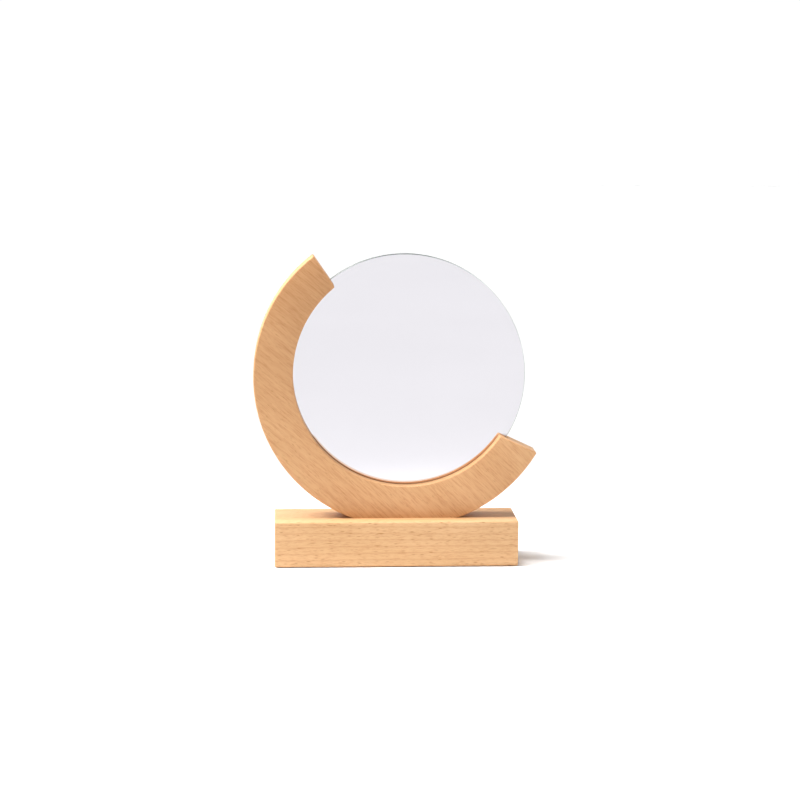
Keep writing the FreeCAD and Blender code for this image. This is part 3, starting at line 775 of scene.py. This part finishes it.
def polished_rim():
    """The ground rim of float glass: satin grey-green with tiny grinding marks. Its colour carries painted
    shade and light: it is darkest at the top, where the light goes straight in, and pale at the right,
    where it comes out again."""
    material, tree, shader = new_material("float glass, ground and polished rim")
    place = add_node(tree, "ShaderNodeTexCoord").outputs["Object"]
    # Marks 1.2 mm apart, drawn much coarser than real grinding marks so that they show.
    marks = add_node(tree, "ShaderNodeTexNoise", {
        "Vector": place, "Scale": 1 / (1.2 * MM), "Detail": 3.0})
    centred = add_node(tree, "ShaderNodeMapping", {"Vector": place, "Location": -disc_centre})
    x, y, z = add_node(tree, "ShaderNodeSeparateXYZ", {0: centred.outputs[0]}).outputs
    turn = add_node(tree, "ShaderNodeMath", {0: z, 1: x}, operation="ARCTAN2")
    # The painted shade runs round the rim from 45 degrees below the right-hand side to 45 degrees past the
    # top.
    share = add_node(tree, "ShaderNodeMapRange", {
        0: turn.outputs[0], 1: -math.pi / 4, 2: 3 * math.pi / 4})
    # Painted shade and light: the rim's colour goes from pale at the right to darkest at the top.
    depth = add_node(tree, "ShaderNodeValToRGB", {0: share.outputs[0]}, stops=[
        (0.15, "#BCC0BF"), (0.30, "#E6E8E7"), (0.50, "#E6E8E7"), (0.58, "#A4A9A7"), (0.69, "#666D6A"),
        (0.75, "#464C4A"), (0.81, "#505654"), (0.92, "#7C827F")])
    shade = add_node(tree, "ShaderNodeValToRGB", {0: marks.outputs[0]},
                     stops=[(0.35, "#E8EAE9"), (0.65, "#FFFFFF")])
    ground = add_node(tree, "ShaderNodeMix", {0: 1.0, 6: depth.outputs[0], 7: shade.outputs[0]},
                      data_type="RGBA", blend_type="MULTIPLY")
    tree.links.new(ground.outputs[2], shader.inputs["Base Color"])
    rough = add_node(tree, "ShaderNodeMapRange", {0: marks.outputs[0], 3: 0.45, 4: 0.6})
    tree.links.new(rough.outputs[0], shader.inputs["Roughness"])
    shader.inputs["IOR"].default_value = 1.52
    shader.inputs["Specular IOR Level"].default_value = 0.1
    return material


# The face is silvered. The bevels, the rim and the bare back edge take the rim's finish.
glass = lathe("glass", [
    (0, glass_low.y), (GLASS_RADIUS * 0.5, glass_low.y), (GLASS_RADIUS - ARRIS, glass_low.y),
    (GLASS_RADIUS, glass_low.y + ARRIS), (GLASS_RADIUS, glass_high.y - ARRIS),
    (GLASS_RADIUS - ARRIS, glass_high.y), (0, glass_high.y)],
    silvered_glass(), polished_rim(), slots=(2, 3, 4, 5))
finish_piece(glass, "mirror_glass", "mirror_glass", smooth=25)


RIB_GAP = 6.28 * MM
FILM_ROUNDING = 0.1 * MM


def backing_paint():
    """Grey backing paint under a clear safety film: matt, with the film's fine woven ribs."""
    material, tree, shader = new_material("grey mirror backing paint under safety film")
    place = add_node(tree, "ShaderNodeTexCoord").outputs["Object"]
    peel = add_node(tree, "ShaderNodeTexNoise", {"Vector": place, "Scale": 1 / (6 * MM), "Detail": 4.0})
    shade = add_node(tree, "ShaderNodeValToRGB", {0: peel.outputs[0]},
                     stops=[(0.3, "#8B8E92"), (0.7, "#979A9E")])
    tree.links.new(shade.outputs[0], shader.inputs["Base Color"])
    # Ribs both ways, drawn coarser than the film's real 1 mm so that they show. At a scale of 1 this
    # texture's waves lie a tenth of pi apart.
    ribs = [add_node(tree, "ShaderNodeTexWave", {
        "Vector": place, "Scale": math.pi / 10 / RIB_GAP, "Distortion": 0.4},
        bands_direction=direction).outputs["Fac"] for direction in ("X", "Z")]
    weave = add_node(tree, "ShaderNodeMath", {0: ribs[0], 1: ribs[1]}, operation="MAXIMUM")
    bump = add_node(tree, "ShaderNodeBump", {
        "Height": weave.outputs[0], "Strength": 0.25, "Distance": 0.05 * MM})
    tree.links.new(bump.outputs[0], shader.inputs["Normal"])
    rough = add_node(tree, "ShaderNodeMapRange", {0: weave.outputs[0], 3: 0.38, 4: 0.55})
    tree.links.new(rough.outputs[0], shader.inputs["Roughness"])
    return material


film_low, film_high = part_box("mirror_backing")
FILM_RADIUS = (film_high.x - film_low.x) / 2
film = lathe("film", [
    (0, film_low.y), (FILM_RADIUS, film_low.y), (FILM_RADIUS, film_high.y - FILM_ROUNDING),
    (FILM_RADIUS - FILM_ROUNDING, film_high.y), (0, film_high.y)], backing_paint())
finish_piece(film, "backing_film", "mirror_backing")

# ---------------------------------------------------------------------------------------------
# Four stick-on pads: discs of soft dark rubber with eased rims, pressed on near the block's corners
# so that it stands level and doesn't slide.

pad_low, pad_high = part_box("foot_pad_front_left")
far_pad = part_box("foot_pad_back_right")[1]
PAD_RADIUS = (pad_high.x - pad_low.x) / 2
PAD_ROUNDING = 0.2 * MM
PAD_SEGMENTS = 64
PAD_EDGE_SEGMENTS = 4


def pad_rubber():
    """Soft polyurethane rubber, die-cut from sheet: dark, matt, finely grained."""
    material, tree, shader = new_material("soft polyurethane rubber, die-cut")
    place = add_node(tree, "ShaderNodeTexCoord").outputs["Object"]
    grain = add_node(tree, "ShaderNodeTexNoise", {
        "Vector": place, "Scale": 1 / (0.8 * MM), "Detail": 2.0})
    shade = add_node(tree, "ShaderNodeValToRGB", {0: grain.outputs[0]},
                     stops=[(0.35, "#3A3733"), (0.65, "#4A4641")])
    tree.links.new(shade.outputs[0], shader.inputs["Base Color"])
    bump = add_node(tree, "ShaderNodeBump", {
        "Height": grain.outputs[0], "Strength": 0.3, "Distance": 0.05 * MM})
    tree.links.new(bump.outputs[0], shader.inputs["Normal"])
    shader.inputs["Roughness"].default_value = 0.7
    return material


bm = bmesh.new()
bmesh.ops.create_cone(bm, cap_ends=True, segments=PAD_SEGMENTS, radius1=PAD_RADIUS, radius2=PAD_RADIUS,
                      depth=pad_high.z - pad_low.z)
rims = [e for e in bm.edges if abs(e.verts[0].co.z - e.verts[1].co.z) < 0.01 * MM]
bmesh.ops.bevel(bm, geom=rims, offset=PAD_ROUNDING, segments=PAD_EDGE_SEGMENTS, profile=0.5,
                affect="EDGES")
pads = mesh_piece("pads", bm)
run_tree(pads, grid_copies, size_x=far_pad.x - pad_low.x - 2 * PAD_RADIUS,
         size_y=far_pad.y - pad_low.y - 2 * PAD_RADIUS, count_x=2, count_y=2,
         centre=(0.0, 0.0, (pad_low.z + pad_high.z) / 2), material=pad_rubber())
finish_piece(pads, "pad_rubber", "foot_pad_front_left", "foot_pad_front_right", "foot_pad_back_left",
             "foot_pad_back_right")

# ---------------------------------------------------------------------------------------------
# The studio: a white painted floor, three softboxes overhead and to the upper left, and a room with a
# strip light, a lit screen behind the mirror and pale walls. A long lens stands a little left of the
# middle and looks slightly down.

FLOOR_SIZE = 12.0


def floor_paint():
    """Matt white paint, rolled: plain white with a mottle too faint to see."""
    material, tree, shader = new_material("matt white paint, rolled")
    place = add_node(tree, "ShaderNodeTexCoord").outputs["Object"]
    mottle = add_node(tree, "ShaderNodeTexNoise", {"Vector": place, "Scale": 2.0})
    shade = add_node(tree, "ShaderNodeValToRGB", {0: mottle.outputs[0]},
                     stops=[(0.3, "#FCFCFC"), (0.7, "#FEFEFE")])
    tree.links.new(shade.outputs[0], shader.inputs["Base Color"])
    shader.inputs["Roughness"].default_value = 0.9
    shader.inputs["Specular IOR Level"].default_value = 0.0
    return material


bm = bmesh.new()
bmesh.ops.create_grid(bm, x_segments=1, y_segments=1, size=FLOOR_SIZE / 2)
floor = mesh_piece("floor", bm, floor_paint())


def soft_light(name, place, aim, width, depth, watts, spread):
    """A flat white softbox at a place, turned towards a point. Its grid lets out that spread, in
    degrees, and 180 is no grid."""
    lamp = bpy.data.lights.new(name, "AREA")
    lamp.shape = "RECTANGLE"
    lamp.size = width
    lamp.size_y = depth
    lamp.energy = watts
    lamp.spread = math.radians(spread)
    obj = bpy.data.objects.new(name, lamp)
    bpy.context.scene.collection.objects.link(obj)
    obj.matrix_world = (Matrix.Translation(place)
                        @ (Vector(aim) - Vector(place)).to_track_quat("-Z", "Y").to_matrix().to_4x4())


soft_light("key softbox", place=(-0.50, -0.02, 0.62), aim=(0.0, -0.01, 0.10),
           width=0.10, depth=0.40, watts=0.69, spread=58)
soft_light("top softbox", place=(-0.05, -0.06, 0.85), aim=(0.0, 0.0, 0.10),
           width=0.25, depth=0.12, watts=0.27, spread=50)
soft_light("fill softbox", place=(-0.35, -0.10, 0.55), aim=(0.0, 0.0, 0.05),
           width=0.30, depth=0.50, watts=0.91, spread=180)

STRIP_LIGHT = 12.9
STRIP_NARROWNESS = 59.0
SCREEN_LIGHT = 0.63
SCREEN_NARROWNESS = 3.0
WALL_LIGHT = 0.58
WALL_TOP, WALL_FADED = math.sin(math.radians(6)), math.sin(math.radians(12))
ROOM_LIGHT = 0.43

world = bpy.data.worlds.new("studio")
bpy.context.scene.world = world
world.use_nodes = True
room = world.node_tree
sky = room.nodes["Background"]
sky.inputs["Color"].default_value = linear("#FFFFFF")
towards = add_node(room, "ShaderNodeTexCoord").outputs["Generated"]
right, back, up = add_node(room, "ShaderNodeSeparateXYZ", {0: towards}).outputs
# A long strip light hangs far off, in line with the crescent, from about 40 degrees up on the left to
# just past straight overhead. It is brightest at 56 degrees and dimmer overhead.
left = add_node(room, "ShaderNodeMath", {0: right, 1: -1.0}, operation="MULTIPLY")
climb = add_node(room, "ShaderNodeMath", {0: up, 1: left.outputs[0]}, operation="ARCTAN2")
share = add_node(room, "ShaderNodeMapRange", {0: climb.outputs[0], 1: 0.0, 2: math.pi})
along_strip = add_node(room, "ShaderNodeValToRGB", {0: share.outputs[0]}, stops=[
    (0.20, "#000000"), (0.25, "#F8F8F8"), (0.31, "#FFFFFF"), (0.40, "#DEDEDE"), (0.50, "#979797"),
    (0.56, "#000000")])
squared = add_node(room, "ShaderNodeMath", {0: back, 1: 2.0}, operation="POWER")
narrowed = add_node(room, "ShaderNodeMath", {0: squared.outputs[0], 1: -STRIP_NARROWNESS},
                    operation="MULTIPLY")
across_strip = add_node(room, "ShaderNodeMath", {0: narrowed.outputs[0]}, operation="EXPONENT")
strip = add_node(room, "ShaderNodeMath", {0: along_strip.outputs[0], 1: across_strip.outputs[0]},
                 operation="MULTIPLY")
# The lit screen behind the mirror is brightest straight behind it.
behind = add_node(room, "ShaderNodeMath", {0: back, 1: 1.0}, operation="MULTIPLY", use_clamp=True)
screen = add_node(room, "ShaderNodeMath", {0: behind.outputs[0], 1: SCREEN_NARROWNESS},
                  operation="POWER")
screen_light = add_node(room, "ShaderNodeMath", {0: screen.outputs[0], 1: SCREEN_LIGHT},
                        operation="MULTIPLY")
# The white walls all round are lit up to 6 degrees over the floor, and the light is gone by 12.
slope = add_node(room, "ShaderNodeMath", {0: up}, operation="ABSOLUTE")
wall_light = add_node(room, "ShaderNodeMapRange", {
    0: slope.outputs[0], 1: WALL_TOP, 2: WALL_FADED, 3: WALL_LIGHT, 4: 0.0})
brighter = add_node(room, "ShaderNodeMath", {0: screen_light.outputs[0], 1: wall_light.outputs[0]},
                    operation="MAXIMUM")
# The rest of the room is an even grey.
lit = add_node(room, "ShaderNodeMath", {0: brighter.outputs[0], 1: ROOM_LIGHT}, operation="ADD")
total = add_node(room, "ShaderNodeMath", {0: strip.outputs[0], 1: STRIP_LIGHT, 2: lit.outputs[0]},
                 operation="MULTIPLY_ADD")
room.links.new(total.outputs[0], sky.inputs["Strength"])
bpy.context.scene.view_settings.view_transform = "Standard"

LENS = 90.0
CAMERA_PLACE = (-0.0958, -1.630, 0.3974)
LOOK_DOWN, LOOK_RIGHT, ROLL = (math.radians(a) for a in (9.12, 3.48, 0.42))

lens = bpy.data.cameras.new("camera")
lens.lens = LENS
lens.sensor_width = 36.0
camera = bpy.data.objects.new("camera", lens)
bpy.context.scene.collection.objects.link(camera)
camera.matrix_world = (Matrix.Translation(CAMERA_PLACE) @ Matrix.Rotation(-LOOK_RIGHT, 4, "Z")
                       @ Matrix.Rotation(math.pi / 2 - LOOK_DOWN, 4, "X") @ Matrix.Rotation(ROLL, 4, "Z"))
bpy.context.scene.camera = camera
